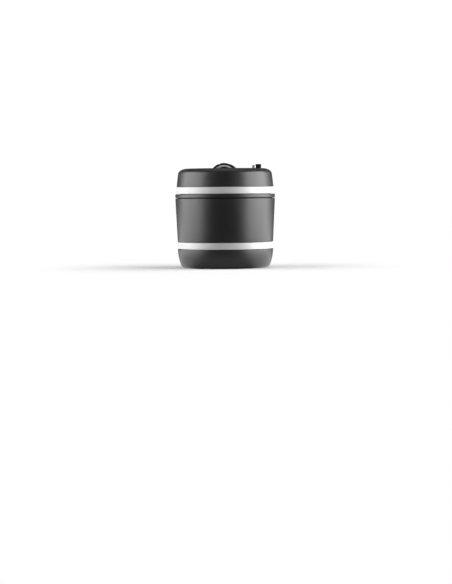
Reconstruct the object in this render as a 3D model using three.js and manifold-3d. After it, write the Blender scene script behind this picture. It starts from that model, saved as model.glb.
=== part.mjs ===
// Combination lock for a wine bottle: a twist head over a short body, in millimetres, +Z up.
// The origin is on the axis, in the plane of the underside. -Y is the front.
import * as THREE from 'three';
import { mergeVertices } from 'three/addons/utils/BufferGeometryUtils.js';
import Module from 'manifold-3d';

const wasm = await Module();
wasm.setup();

// ---------- driving dimensions ----------
const rad = THREE.MathUtils.degToRad;
const ROUND = 36; // facets round a shell
const SMALL = 16; // facets round a small round piece

// heights of the outer pieces, bottom to top
const Z = {
  baseTop: 8.85, bandLow: 9.0, bandHigh: 12.15, shellLow: 12.3, shellTop: 33.12,
  lipLow: 33.48, lipHigh: 35.15, trimLow: 35.3, trimHigh: 38.5, coverLow: 38.65,
  shoulder: 44.6, top: 47.4,
};
const maxRadius = 24.0; // at the top of the body shell and at the lip
const bandRadius = 22.95; // the lower band, flush with the base ring and the shell
const shellFoot = 22.98;
const coverFoot = 23.36;
const coverShoulder = 22.64;
const topFlat = 18.2; // radius of the flat on top
const trimRadius = 23.44;
const bandThickness = 1.1;
const neckRadius = 15.4; // opening for the bottle's neck
const footRadius = 20.35; // outer edge of the underside

// the body shell's walls, and the labyrinth that closes the joint under the lip
const bodyWall = 21.5;
const spigotWall = [20.9, 21.7]; // the thin wall inside the lower band
const guideLow = 9.15;
const guideHigh = 13.9;
const guideOuter = 20.6;
const ledge = { inner: 19.0, low: 30.2, high: 30.9 }; // holds the head down and the keeper up
const rim = { outer: 22.7, top: 33.37 };
const skirt = { inner: 23.0, outer: 23.7, low: 33.28 };

// jaws and the scroll that drives them
const jawAngles = [30, 150, 270];
const bossAngles = [90, 210, 330];
const jawTravel = 1.9;
const headTurn = 60; // degrees
const jawTip = 13.5; // radius of the closed pads
const jawEnd = 18.7; // radius of a closed jaw's outer end
const jawWidth = 8.0;
const padThickness = 1.0;
const jawLow = 10.2;
const jawHigh = 13.7;
const drivePinAt = 17.7;
const drivePin = 0.8;
const drivePinTop = 16.9;
const slotHalf = 1.0;
const camLow = 14.2;
const camHigh = 17.2;
const camInner = 15.9;
const sleeveOuter = 21.2;
const sleeveInner = 19.9;
const sleeveTop = 29.9;
const webLow = 24.2;
const webHigh = 25.4;
const webHole = 11.6;

// head base, cover and the body's keeper
const spigotOuter = 18.6;
const spigotInner = 15.6;
const plateTop = 34.8;
const coverInner = 20.7;
const coverSpigot = 21.75;
const coverRoof = 45.8;
const coverFootZ = 35.0;
const keeperLow = 31.1;
const keeperHigh = 32.7;
const notchAngles = [90, 90 + headTurn];
const notchHalf = 2.8;
const notchEnd = 20.6;
const bossAt = 18.1;
const bossRadius = 2.1;
const sleeveScrewAt = 17.1;
const spigotLow = 25.7;
const stemRadius = 2.0; // the pressure plate's guide stem
const coverScrewPlaces = [150, 210, 308].map((a) => polar(13.4, a));

// number wheels
const wheelZ = 42.97;
const wheelRadius = 6.95;
const wheelHalf = 1.8;
const wheelPitch = 6.4;
const wheelPlaces = [-7.4, -7.4 + wheelPitch, -7.4 + 2 * wheelPitch];
const lobes = 10;
const notchDepth = 0.38; // between two lobes
const faceOuter = 5.95; // the light ring on a wheel's front
const faceInner = 5.12;
const shaftRadius = 1.25;
const sleeveTube = 2.2; // radius of the tube inside a wheel
const flangeRadius = 3.3;
const flangeLow = wheelHalf + 1.1;
const flangeHigh = flangeLow + 0.6;
const gateHalf = 1.1;
const gateFloor = 2.4;
const earFront = [-10.4, -9.5];
const earRear = [10.0, 10.9];

// thumb slider, bolt and reset pin
const sliderAt = [16.15, -1.1];
const thumbSize = { half: 1.25, front: 3.7, rear: 3.9, low: 0.12, high: 1.95 }; // low, high: above the top
const finTip = 2.7; // how near the fins come to the wheels' axis
const finHalf = 0.8;
const finFromWheel = wheelHalf + 0.25;
const finThick = 0.6;
const tailLow = 31.4;
const tailHigh = 32.4;
const tailHalf = 2.5;
const tailEnd = 18.3;
const legAt = 12.3; // the front face of the leg that runs down behind the wheels
const legThick = 1.2;
const boltTravel = 1.7;
const resetAt = [14.2, -6.5];
const resetPinRadius = 0.875;
const collarTop = 42.7; // the collar under the roof that keeps the reset pin in

// screws: underside of the head, tip of the shank, radii of head and shank
const baseScrew = { low: 0.4, tip: 12.4, head: 1.45, shank: 0.65 };
const sleeveScrew = { low: 23.1, tip: 29.6, head: 1.3, shank: 0.55 };
const coverScrew = { low: 32.4, tip: 41.5, head: 1.4, shank: 0.55 };
const boltScrew = { low: 41.05, tip: 45.1, head: 1.3, shank: 0.55, headHeight: 0.9 };
// coil springs: radius to the wire's middle, the wire's radius, ends and turns
const sealSpring = { radius: 5.5, wire: 0.45, low: 27.0, high: 33.4, turns: 4 };
const resetSpring = { radius: 1.35, wire: 0.25, low: 35.0, high: 41.8, turns: 5 };

// ---------- materials ----------
function finish(color, roughness, metalness) {
  return new THREE.MeshStandardMaterial({ color, roughness, metalness });
}
const black = finish(0x1f1f21, 0.5, 0);
const blackGloss = finish(0x0c0c0d, 0.3, 0);
const innerBlack = finish(0x2a2b2d, 0.6, 0);
const silver = finish(0xd4d4d4, 0.3, 1);
const chrome = finish(0xe6e6e8, 0.12, 1);
const steel = finish(0xb4b6b9, 0.35, 1);
const springSteel = finish(0x9a9da2, 0.3, 1);
const brass = finish(0xc2a24e, 0.35, 1);
const acetal = finish(0xe2e0d8, 0.45, 0);
const rubber = finish(0x3a3a3c, 0.85, 0);
const silicone = finish(0x8e9093, 0.7, 0);

// ---------- helpers ----------
function polar(r, degrees) {
  return [r * Math.cos(rad(degrees)), r * Math.sin(rad(degrees))];
}

function toSolid(geometry) {
  const bare = new THREE.BufferGeometry();
  bare.setAttribute('position', geometry.getAttribute('position').clone());
  if (geometry.index) bare.setIndex(geometry.index.clone());
  const merged = mergeVertices(bare, 1e-4);
  const kept = [];
  for (let i = 0; i < merged.index.count; i += 3) {
    const [a, b, c] = [0, 1, 2].map((k) => merged.index.getX(i + k));
    if (a !== b && b !== c && c !== a) kept.push(a, b, c);
  }
  return new wasm.Manifold(new wasm.Mesh({
    numProp: 3,
    vertProperties: merged.getAttribute('position').array,
    triVerts: new Uint32Array(kept),
  }));
}

function toGeometry(solid) {
  const mesh = solid.getMesh();
  const geometry = new THREE.BufferGeometry();
  geometry.setAttribute('position', new THREE.BufferAttribute(mesh.vertProperties, 3));
  geometry.setIndex(new THREE.BufferAttribute(mesh.triVerts, 1));
  return geometry;
}

const join = (first, ...others) => toGeometry(
  others.reduce((solid, other) => solid.add(toSolid(other)), toSolid(first)));
const cut = (first, ...tools) => toGeometry(
  tools.reduce((solid, tool) => solid.subtract(toSolid(tool)), toSolid(first)));
const common = (first, other) => toGeometry(toSolid(first).intersect(toSolid(other)));

// a solid of revolution about Y, from a closed outline of [radius, height] listed anticlockwise
function turnedY(outline, facets = SMALL) {
  const points = outline.map(([r, y]) => new THREE.Vector2(r, y));
  const onAxis = outline[0][0] === 0 && outline[outline.length - 1][0] === 0;
  if (!onAxis) points.push(points[0].clone());
  return new THREE.LatheGeometry(points, facets);
}
// the same about Z
const turned = (outline, facets = ROUND) => turnedY(outline, facets).rotateX(Math.PI / 2);

const ring = (inner, outer, low, high, facets) => turned(
  [[inner, low], [outer, low], [outer, high], [inner, high]], facets);
const ringY = (inner, outer, low, high, facets) => turnedY(
  [[inner, low], [outer, low], [outer, high], [inner, high]], facets);

function rod(radius, low, high, [x, y] = [0, 0], facets = SMALL) {
  return new THREE.CylinderGeometry(radius, radius, high - low, facets)
    .rotateX(Math.PI / 2).translate(x, y, (low + high) / 2);
}

function rodY(radius, low, high, facets = SMALL) {
  return new THREE.CylinderGeometry(radius, radius, high - low, facets)
    .translate(0, (low + high) / 2, 0);
}

function block([x0, x1], [y0, y1], [z0, z1]) {
  return new THREE.BoxGeometry(x1 - x0, y1 - y0, z1 - z0)
    .translate((x0 + x1) / 2, (y0 + y1) / 2, (z0 + z1) / 2);
}

// a block that runs outwards from the axis, turned to an angle
const spoke = (span, half, height, degrees) => block(span, [-half, half], height)
  .rotateZ(rad(degrees));

// an outline's quarter turn of an ellipse, from its side up to its top
function shoulderArc(r, z, across, up, steps) {
  return Array.from({ length: steps + 1 }, (_, i) => {
    const a = (i / steps) * Math.PI / 2;
    return [r - across + across * Math.cos(a), z - up + up * Math.sin(a)];
  });
}

// a screw pointing up: a round head with a shank
const screw = (place, { low, tip, head, shank, headHeight = 1.0 }) => join(
  rod(head, low, low + headHeight, place, 12),
  rod(shank, low + headHeight - 0.1, tip, place, 8));

// a compression spring with wire of one thickness
function coil({ radius, wire, low, high, turns }) {
  class Helix extends THREE.Curve {
    getPoint(t) {
      const a = 2 * Math.PI * turns * t;
      return new THREE.Vector3(radius * Math.cos(a), radius * Math.sin(a),
        low + wire + (high - low - 2 * wire) * t);
    }
  }
  const section = new THREE.Shape(new THREE.EllipseCurve(0, 0, wire, wire).getPoints(5).slice(0, 5));
  return new THREE.ExtrudeGeometry(section, {
    extrudePath: new Helix(), steps: 9 * turns, bevelEnabled: false,
  });
}

const lock = new THREE.Group();
function add(name, geometry, material, parent = lock) {
  const mesh = new THREE.Mesh(geometry, material);
  mesh.name = name;
  parent.add(mesh);
  return mesh;
}

// ---------- body: base ring, trim, shell, guide and keeper ----------
function baseRing() {
  const bulge = 1.9; // how far the side pulls in towards the foot
  const side = (z) => bandRadius - bulge * (1 - z / Z.bandLow) ** 2;
  const outer = [0.6, 2.2, 4.2, 6.4, Z.baseTop].map((z) => [side(z), z]);
  const leadIn = 0.7;
  const bowl = turned([[neckRadius + leadIn, 0], [footRadius, 0], ...outer,
    [neckRadius, Z.baseTop], [neckRadius, leadIn]]);
  const pocketFloor = 2.6;
  const pocket = ring(neckRadius + 1.6, guideOuter, pocketFloor, Z.baseTop + 1);
  const bosses = bossAngles.map((a) => rod(bossRadius + 0.6, pocketFloor - 1, Z.baseTop + 2,
    polar(bossAt, a), 12));
  const holes = bossAngles.flatMap((a) => [
    rod(1.75, -1, 1.6, polar(bossAt, a), 12), rod(0.95, 1, Z.baseTop + 1, polar(bossAt, a), 8)]);
  return cut(bowl, cut(pocket, ...bosses), ...holes);
}

function bodyShell() {
  const [inner, outer] = spigotWall;
  const shell = turned([[inner, guideLow], [outer, guideLow], [outer, Z.shellLow],
    [shellFoot, Z.shellLow], [maxRadius, Z.shellTop - 0.4], [maxRadius - 0.3, Z.shellTop],
    [rim.outer, Z.shellTop], [rim.outer, rim.top], [bodyWall, rim.top],
    [bodyWall, ledge.high], [ledge.inner, ledge.high], [ledge.inner, ledge.low],
    [bodyWall, ledge.low], [bodyWall, guideHigh + 0.1], [inner, guideHigh]]);
  const height = [guideLow, guideHigh];
  const bosses = bossAngles.flatMap((a) => [
    rod(bossRadius, ...height, polar(bossAt, a), 12), spoke([bossAt, inner + 0.4], 1.2, height, a)]);
  const pilots = bossAngles.map((a) => rod(0.8, guideLow - 1, guideHigh - 0.9, polar(bossAt, a), 8));
  return cut(join(shell, ...bosses), ...pilots);
}

function jawGuide() {
  const span = [neckRadius - 1, guideOuter + 1];
  const channels = jawAngles.map((a) => spoke(span, jawWidth / 2 + 0.25,
    [guideLow + 0.8, guideHigh + 1], a));
  const height = [guideLow - 1, guideHigh + 1];
  const bosses = bossAngles.flatMap((a) => [
    rod(bossRadius + 0.4, ...height, polar(bossAt, a), 12), spoke([bossAt, span[1]], 1.5, height, a)]);
  return cut(ring(neckRadius, guideOuter, guideLow, guideHigh), ...channels, ...bosses);
}

function keeperRing() {
  const inner = spigotOuter + 0.35;
  const notches = notchAngles.map((a) => spoke([inner - 1, notchEnd], notchHalf,
    [keeperLow - 1, keeperHigh + 1], a));
  return cut(ring(inner, bodyWall - 0.2, keeperLow, keeperHigh), ...notches);
}

// ---------- jaws ----------
function jaw() {
  const blank = common(rod(jawEnd, jawLow, jawHigh, [0, 0], ROUND),
    block([jawTip, jawEnd + 1], [-jawWidth / 2, jawWidth / 2], [jawLow - 1, jawHigh + 1]));
  const pin = rod(drivePin, jawHigh - 0.2, drivePinTop, [drivePinAt, 0]);
  return join(cut(blank, rod(jawTip + padThickness + 0.3, jawLow - 1, jawHigh + 1, [0, 0], ROUND)), pin);
}

function jawPad() {
  const half = jawWidth / 2 - 0.3;
  return common(ring(jawTip, jawTip + padThickness, jawLow + 0.3, jawHigh - 0.3),
    block([jawTip - 3, jawEnd], [-half, half], [jawLow, jawHigh]));
}

// ---------- cam sleeve and seal ----------
// A scroll slot's centre line: as the head turns, the drive pin moves back round it and outwards.
function scrollSlot(jawAngle) {
  const steps = 8;
  const line = Array.from({ length: steps + 1 }, (_, i) => {
    const turn = -0.03 + 1.06 * i / steps;
    const [x, y] = polar(drivePinAt + jawTravel * turn, jawAngle - headTurn * turn);
    return new THREE.Vector2(x, y);
  });
  const side = (sign) => line.map((p, i) => {
    const before = line[Math.max(i - 1, 0)];
    const after = line[Math.min(i + 1, steps)];
    const along = after.clone().sub(before).normalize();
    return new THREE.Vector2(p.x - sign * slotHalf * along.y, p.y + sign * slotHalf * along.x);
  });
  const outline = new THREE.Shape([...side(1), ...side(-1).reverse()]);
  const channel = new THREE.ExtrudeGeometry(outline, { depth: 4, bevelEnabled: false })
    .translate(0, 0, camHigh + 0.05 - 4);
  const ends = [line[0], line[steps]].map((p) => rod(slotHalf, camLow - 0.8, camHigh + 0.05, [p.x, p.y]));
  return join(channel, ...ends);
}

function camSleeve() {
  const blank = turned([[camInner, camLow], [sleeveOuter, camLow], [sleeveOuter, sleeveTop],
    [sleeveInner, sleeveTop], [sleeveInner, webHigh], [webHole, webHigh], [webHole, webLow],
    [sleeveInner, webLow], [sleeveInner, camHigh], [camInner, camHigh]]);
  const holes = jawAngles.map((a) => rod(0.85, webLow - 1, webHigh + 1, polar(sleeveScrewAt, a), 12));
  return cut(blank, ...jawAngles.map(scrollSlot), ...holes);
}

// the disc's raised middle plugs the bottle's mouth, and the plate above it rests on the web
const sealLow = 21.8;
const sealRadius = webHole - 0.4;
const plateLow = webHigh + 0.3;
const plateHigh = plateLow + 1.2;
const stemTop = 31.8;

const sealDisc = () => turned([[0, sealLow], [7.6, sealLow], [8.4, sealLow + 0.5],
  [sealRadius - 0.6, sealLow + 0.5], [sealRadius, sealLow + 1.0], [sealRadius, webHigh], [0, webHigh]]);
const pressurePlate = () => turned([[0, plateLow], [13.3, plateLow], [13.3, plateHigh],
  [stemRadius, plateHigh], [stemRadius, stemTop - 0.4], [stemRadius - 0.4, stemTop], [0, stemTop]]);

// ---------- head: base, trim and cover ----------
function headBase() {
  const bore = stemRadius + 0.25;
  const bossLow = 28.6;
  const blank = turned([[0, Z.lipLow - 0.1], [bore, Z.lipLow - 0.1], [bore, bossLow],
    [bore + 1.75, bossLow], [bore + 1.75, Z.lipLow], [spigotInner, Z.lipLow],
    [spigotInner, spigotLow], [spigotOuter, spigotLow], [spigotOuter, Z.lipLow],
    [skirt.inner, Z.lipLow], [skirt.inner, skirt.low], [skirt.outer, skirt.low],
    [skirt.outer, Z.lipLow], [maxRadius - 0.25, Z.lipLow], [maxRadius, Z.lipLow + 0.25],
    [maxRadius, Z.lipHigh - 0.2], [maxRadius - 0.15, Z.lipHigh],
    [coverSpigot + 0.2, Z.lipHigh], [coverSpigot + 0.2, plateTop], [0, plateTop]]);
  const width = [-notchHalf, notchHalf];
  const tailWindow = block(width, [spigotInner - 1, spigotOuter + 1], [tailLow - 0.3, tailHigh + 0.3]);
  const legSlot = block(width, [legAt - 0.3, legAt + legThick + boltTravel + 0.3],
    [Z.lipLow - 1, plateTop + 1]);
  const coverHoles = coverScrewPlaces.map((p) => rod(0.85, Z.lipLow - 1, plateTop + 1, p, 12));
  const pilots = jawAngles.map((a) => rod(0.7, spigotLow - 1, 31, polar(sleeveScrewAt, a), 12));
  return cut(blank, tailWindow, legSlot, ...coverHoles, ...pilots);
}

function topCover() {
  const blank = turned([[coverInner, coverFootZ], [coverSpigot, coverFootZ], [coverSpigot, Z.coverLow],
    [coverFoot, Z.coverLow], ...shoulderArc(coverShoulder, Z.top, coverShoulder - topFlat,
      Z.top - Z.shoulder, 6), [0, Z.top], [0, coverRoof], [coverInner - 1, coverRoof],
    [coverInner, coverRoof - 1]]);
  const bosses = coverScrewPlaces.map((p) => rod(2.0, coverFootZ, coverRoof + 0.3, p, 16));
  const guide = rod(2.1, collarTop + 0.3, coverRoof + 0.3, resetAt, 16);
  const wheelSlots = wheelPlaces.map((y) => rodY(wheelRadius + 0.3, -wheelHalf - 0.3, wheelHalf + 0.3, 28)
    .translate(0, y, wheelZ));
  const flangeGroove = rodY(flangeRadius + 0.3, earFront[1] + 0.1, earRear[0] - 0.1)
    .translate(0, 0, wheelZ);
  const sliderSlot = block([sliderAt[0] - 1.1, sliderAt[0] + 1.1],
    [sliderAt[1] - 2.25, sliderAt[1] + 2.25 + boltTravel], [coverRoof - 1, Z.top + 1]);
  const pinHole = rod(resetPinRadius + 0.2, collarTop, Z.top + 1, resetAt, 16);
  const pilots = coverScrewPlaces.map((p) => rod(0.65, coverFootZ - 1, 43, p, 12));
  return cut(join(blank, ...bosses, guide), ...wheelSlots, flangeGroove, sliderSlot, pinHole, ...pilots);
}

function lockFrame() {
  const [earHalf, earTop, floorHalf] = [3, 45.2, 6];
  const floorZ = [34.95, 35.45];
  const ears = [earFront, earRear].map((span) => block([-earHalf, earHalf], span, [floorZ[0] + 0.2, earTop]));
  const floor = block([-floorHalf, floorHalf], [earFront[0], earRear[1]], floorZ);
  const bore = rodY(shaftRadius + 0.2, earFront[0] - 1, earRear[1] + 1).translate(0, 0, wheelZ);
  const windows = [-4.2, 2.2].map((y) => block([-3, 3], [y - 1, y + 1], [floorZ[0] - 1, floorZ[1] + 1]));
  return cut(join(floor, ...ears), bore, ...windows);
}

// one finger under each wheel, its bump just clear of the lobes
function detentSpring() {
  const leaf = [35.55, 35.75];
  const bumpTop = wheelZ - wheelRadius - 0.18;
  const spine = block([-5.8, -3.8], [wheelPlaces[0] - wheelHalf, wheelPlaces[2] + wheelHalf], leaf);
  const fingers = wheelPlaces.flatMap((y) => [
    block([-4, 1.6], [y - 0.9, y + 0.9], leaf),
    block([-0.5, 0.5], [y - 0.9, y + 0.9], [leaf[0] + 0.1, bumpTop])]);
  return join(spine, ...fingers);
}

// ---------- number wheels, about their own axis ----------
// Ten lobes with a narrow notch between neighbours. One lobe stands at the top.
function numberWheel() {
  const lobe = 360 / lobes;
  const profile = [[-18, -notchDepth], [-15, -0.12], [-8, -0.03], [0, 0], [8, -0.03], [15, -0.12]];
  const outline = Array.from({ length: lobes }, (_, i) => profile.map(([angle, offset]) => {
    const [x, y] = polar(wheelRadius + offset, 90 + lobe * i + angle);
    return new THREE.Vector2(x, y);
  })).flat();
  const disc = new THREE.ExtrudeGeometry(new THREE.Shape(outline),
    { depth: 2 * wheelHalf, bevelEnabled: false })
    .translate(0, 0, -wheelHalf).rotateX(Math.PI / 2);
  const recess = rodY(faceOuter + 0.12, -wheelHalf - 1, -wheelHalf + 0.5, 32);
  return cut(disc, recess, rodY(sleeveTube + 0.2, -wheelHalf - 1, wheelHalf + 1));
}

const wheelFace = () => ringY(faceInner, faceOuter, -wheelHalf + 0.05, -wheelHalf + 0.4, 32);

function codeSleeve() {
  const blank = turnedY([[shaftRadius + 0.2, -wheelHalf], [sleeveTube, -wheelHalf], [sleeveTube, flangeLow],
    [flangeRadius, flangeLow], [flangeRadius, flangeHigh], [shaftRadius + 0.2, flangeHigh]], 32);
  return cut(blank, block([gateFloor, 6], [flangeLow - 1, flangeHigh + 1], [-gateHalf, gateHalf]));
}

// ---------- slider, bolt and reset pin ----------
function releaseSlider() {
  const [x, y] = sliderAt;
  const thumb = block([x - thumbSize.half, x + thumbSize.half], [y - thumbSize.front, y + thumbSize.rear],
    [Z.top + thumbSize.low, Z.top + thumbSize.high]);
  const neck = block([x - 0.8, x + 0.8], [y - 2, y + 2], [coverRoof - 0.5, Z.top + 0.4]);
  const foot = block([x - 1.9, x + 1.9], [y - 3.2, y + 3.2], [coverRoof - 1.2, coverRoof - 0.3]);
  const stem = rod(1.5, wheelZ + finHalf - 0.1, coverRoof - 1, sliderAt);
  const pilot = rod(0.75, wheelZ, coverRoof + 0.2, sliderAt, 12);
  return cut(join(thumb, neck, foot, stem), pilot);
}

function lockBolt() {
  const height = [wheelZ - finHalf, wheelZ + finHalf];
  const fins = wheelPlaces.map((y) => block([finTip, 7.6], [y + finFromWheel, y + finFromWheel + finThick],
    height));
  const [spineIn, spineOut] = [7.4, 9.0]; // clear of the wheels' rims
  const legSpan = [legAt, legAt + legThick];
  const spine = block([spineIn, spineOut], [wheelPlaces[0] + finFromWheel, legSpan[1]], height);
  const arm = block([spineOut - 0.2, sliderAt[0] + 1.1], [sliderAt[1] - 1.5, sliderAt[1] + 1.5],
    [height[0], height[0] + 1.2]);
  const cross = block([-tailHalf, spineOut - 0.2], legSpan, height);
  const leg = block([-tailHalf, tailHalf], legSpan, [tailLow, height[0] + 0.2]);
  const tail = block([-tailHalf, tailHalf], [legSpan[1] - 0.2, tailEnd], [tailLow, tailHigh]);
  const hole = rod(0.8, height[0] - 1, height[1] + 1, sliderAt, 12);
  return cut(join(spine, ...fins, arm, cross, leg, tail), hole);
}

function resetPin() {
  const [stem, collar, bottom, top] = [0.6, 1.7, 37.4, Z.top + 1.5];
  return turned([[0, bottom], [stem, bottom], [stem, collarTop - 0.7], [collar, collarTop - 0.7],
    [collar, collarTop], [resetPinRadius, collarTop], [resetPinRadius, top - 0.3],
    [resetPinRadius - 0.3, top], [0, top]], SMALL).translate(...resetAt, 0);
}

// ---------- assembly ----------
add('base_ring', baseRing(), black);
add('lower_trim_ring', ring(bandRadius - bandThickness, bandRadius, Z.bandLow, Z.bandHigh), silver);
add('body_shell', bodyShell(), black);
add('jaw_guide', jawGuide(), acetal);
add('keeper_ring', keeperRing(), steel);
bossAngles.forEach((a, i) => {
  add(`base_screw_${i + 1}`, screw(polar(bossAt, a), baseScrew), steel);
});

jawAngles.forEach((angle, i) => {
  const station = new THREE.Group();
  station.rotation.z = rad(angle);
  lock.add(station);
  add(`jaw_${i + 1}`, jaw(), steel, station);
  add(`jaw_pad_${i + 1}`, jawPad(), rubber, station);
});

add('cam_sleeve', camSleeve(), acetal);
jawAngles.forEach((a, i) => {
  add(`sleeve_screw_${i + 1}`, screw(polar(sleeveScrewAt, a), sleeveScrew), steel);
});
add('seal_disc', sealDisc(), silicone);
add('pressure_plate', pressurePlate(), innerBlack);
add('seal_spring', coil(sealSpring), springSteel);

add('head_base', headBase(), black);
add('upper_trim_ring', ring(coverSpigot + 0.15, trimRadius, Z.trimLow, Z.trimHigh), silver);
add('top_cover', topCover(), black);
coverScrewPlaces.forEach((place, i) => {
  add(`cover_screw_${i + 1}`, screw(place, coverScrew), steel);
});
add('lock_frame', lockFrame(), steel);
add('detent_spring', detentSpring(), springSteel);
add('wheel_shaft', rodY(shaftRadius, -11.5, 11.9), steel).position.set(0, 0, wheelZ);
add('shaft_clip_front', ringY(1.4, 2.3, -11.1, -10.6), springSteel).position.set(0, 0, wheelZ);
add('shaft_clip_rear', ringY(1.4, 2.3, 11.1, 11.6), springSteel).position.set(0, 0, wheelZ);

wheelPlaces.forEach((y, i) => {
  const station = new THREE.Group();
  station.position.set(0, y, wheelZ);
  lock.add(station);
  add(`number_wheel_${i + 1}`, numberWheel(), blackGloss, station);
  add(`wheel_face_${i + 1}`, wheelFace(), silver, station);
  add(`code_sleeve_${i + 1}`, codeSleeve(), brass, station);
});

add('release_slider', releaseSlider(), blackGloss);
add('lock_bolt', lockBolt(), steel);
add('bolt_screw', screw(sliderAt, boltScrew), steel);
add('reset_pin', resetPin(), chrome);
add('reset_spring', coil(resetSpring), springSteel).position.set(...resetAt, 0);

export default lock;
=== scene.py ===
"""The looks of the bottle lock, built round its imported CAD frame.

Lengths are millimetres until a mesh is made, unless a comment says metres.
"""

import math

import bmesh
import bpy
from mathutils import Matrix, Vector

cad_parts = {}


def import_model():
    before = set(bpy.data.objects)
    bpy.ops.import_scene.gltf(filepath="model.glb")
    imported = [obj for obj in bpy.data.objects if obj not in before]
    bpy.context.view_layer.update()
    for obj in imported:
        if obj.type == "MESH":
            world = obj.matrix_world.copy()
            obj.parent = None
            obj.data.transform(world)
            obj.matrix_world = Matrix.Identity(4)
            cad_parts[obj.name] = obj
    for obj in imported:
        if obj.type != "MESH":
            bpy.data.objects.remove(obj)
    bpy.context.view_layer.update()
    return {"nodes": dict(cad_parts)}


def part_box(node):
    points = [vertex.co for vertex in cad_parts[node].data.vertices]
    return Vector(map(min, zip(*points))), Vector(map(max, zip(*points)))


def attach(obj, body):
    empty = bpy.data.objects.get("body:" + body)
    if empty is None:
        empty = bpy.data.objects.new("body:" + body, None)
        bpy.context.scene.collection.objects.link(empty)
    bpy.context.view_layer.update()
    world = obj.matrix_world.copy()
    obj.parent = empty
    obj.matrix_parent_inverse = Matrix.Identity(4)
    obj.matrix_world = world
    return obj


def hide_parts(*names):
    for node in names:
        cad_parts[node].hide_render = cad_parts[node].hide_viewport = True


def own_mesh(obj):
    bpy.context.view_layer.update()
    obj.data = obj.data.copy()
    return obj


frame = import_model()
MM = 0.001

# Steps round the fine meshes, from the lock's own shells down to the screws' pilot holes.
SHELL_STEPS = 192
TURNED_STEPS = 96
ROUND_STEPS = 64
POST_STEPS = 48
PILOT_STEPS = 32
WIRE_RESOLUTION = 2

SMOOTH_ANGLE = math.radians(32)  # edges sharper than this look sharp
FLAT_ANGLE = math.radians(1)  # CAD facets this close in direction are one flat
WELD, CAD_WELD = 1e-4, 2e-3  # points nearer than this are one point


# ---------- sizes read from the frame ----------
def low(node):
    """A CAD node's lowest corner, in mm."""
    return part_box(node)[0] / MM


def high(node):
    """A CAD node's highest corner, in mm."""
    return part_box(node)[1] / MM


def middle(node):
    return (low(node) + high(node)) / 2


def spot(node):
    """Where the middle of a CAD node lies, seen from above."""
    return middle(node).xy


def radius(node):
    """The outer radius of a round node centred on the lock's axis."""
    return high(node).x


WHEEL_AXIS_Z = middle("wheel_shaft").z
WHEEL_RADIUS = high("number_wheel_1").z - WHEEL_AXIS_Z
WHEEL_HALF = (high("number_wheel_1").y - low("number_wheel_1").y) / 2
TOP = high("top_cover").z
TRIO = (1, 2, 3)  # the wheels, the jaws and most of the screws come in threes
BOSS_ANGLES = (90, 210, 330)
BOSS_CIRCLE = 18.1
BAND_GAP = 0.08  # between a silver band and the part above it


# ---------- mesh helpers ----------
def polar(r, degrees):
    a = math.radians(degrees)
    return r * math.cos(a), r * math.sin(a)


def rounded(outline, steps=4):
    """A closed outline of (x, y, fillet radius) corners, as plain points with each fillet an arc."""
    shortest = 1e-6  # an edge shorter than this has no direction
    share = 0.49  # a fillet takes less than half of an edge
    points = []
    count = len(outline)
    for i, (x, y, fillet) in enumerate(outline):
        here = Vector((x, y))
        back = Vector(outline[i - 1][:2]) - here
        on = Vector(outline[(i + 1) % count][:2]) - here
        if fillet <= 0 or min(back.length, on.length) < shortest:
            points.append((x, y))
            continue
        half = back.angle(on) / 2
        reach = min(fillet / math.tan(half), share * back.length, share * on.length)
        start = here + back.normalized() * reach
        end = here + on.normalized() * reach
        for k in range(steps + 1):
            t = k / steps
            # a quadratic blend is close to the arc and never overshoots
            p = start * (1 - t) ** 2 + here * 2 * t * (1 - t) + end * t ** 2
            points.append((p.x, p.y))
    return points


def new_piece(name, mesh):
    for polygon in mesh.polygons:
        polygon.use_smooth = True
    mesh.set_sharp_from_angle(angle=SMOOTH_ANGLE)
    piece = bpy.data.objects.new(name, mesh)
    bpy.context.scene.collection.objects.link(piece)
    return piece


def finished(bm, name):
    """A bmesh in mm becomes a mesh in metres, with its faces turned outwards."""
    bmesh.ops.remove_doubles(bm, verts=bm.verts, dist=WELD)
    bmesh.ops.recalc_face_normals(bm, faces=bm.faces)
    bm.transform(Matrix.Scale(MM, 4))
    mesh = bpy.data.meshes.new(name)
    bm.to_mesh(mesh)
    bm.free()
    return mesh


def skin(bm, pairs):
    """Joins each pair of rings of points by a band of faces. A ring may be one point, repeated."""
    for here, there in pairs:
        for k in range(len(here)):
            on = (k + 1) % len(here)
            face = list(dict.fromkeys((here[k], here[on], there[on], there[k])))
            if len(face) > 2:
                bm.faces.new(face)


def spun(outline, steps=SHELL_STEPS):
    """A bmesh turned about Z from an outline of (r, z). It closes on itself or ends on the axis."""
    bm = bmesh.new()
    on_axis = outline[0][0] == 0 and outline[-1][0] == 0
    rows = []
    for r, z in outline:
        if r == 0:
            rows.append([bm.verts.new((0, 0, z))] * steps)
        else:
            rows.append([bm.verts.new((*polar(r, 360 * k / steps), z)) for k in range(steps)])
    pairs = list(zip(rows, rows[1:]))
    if not on_axis:
        pairs.append((rows[-1], rows[0]))
    skin(bm, pairs)
    return bm


def lathe(name, outline, steps=SHELL_STEPS):
    return new_piece(name, finished(spun(outline, steps), name))


def prism(name, outline, z_low, z_high, top_outline=None):
    """A closed outline of (x, y) points raised from z_low to z_high, or up to a second outline."""
    bm = bmesh.new()
    lower = [bm.verts.new((x, y, z_low)) for x, y in outline]
    upper = [bm.verts.new((x, y, z_high)) for x, y in (top_outline or outline)]
    bm.faces.new(lower)
    bm.faces.new(upper)
    for i in range(len(lower)):
        j = (i + 1) % len(lower)
        bm.faces.new((lower[i], lower[j], upper[j], upper[i]))
    return new_piece(name, finished(bm, name))


def rectangle(x, y, half_x, half_y, fillet=0.0):
    return rounded([(x + sx * half_x, y + sy * half_y, fillet)
                    for sx, sy in ((-1, -1), (1, -1), (1, 1), (-1, 1))])


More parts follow.
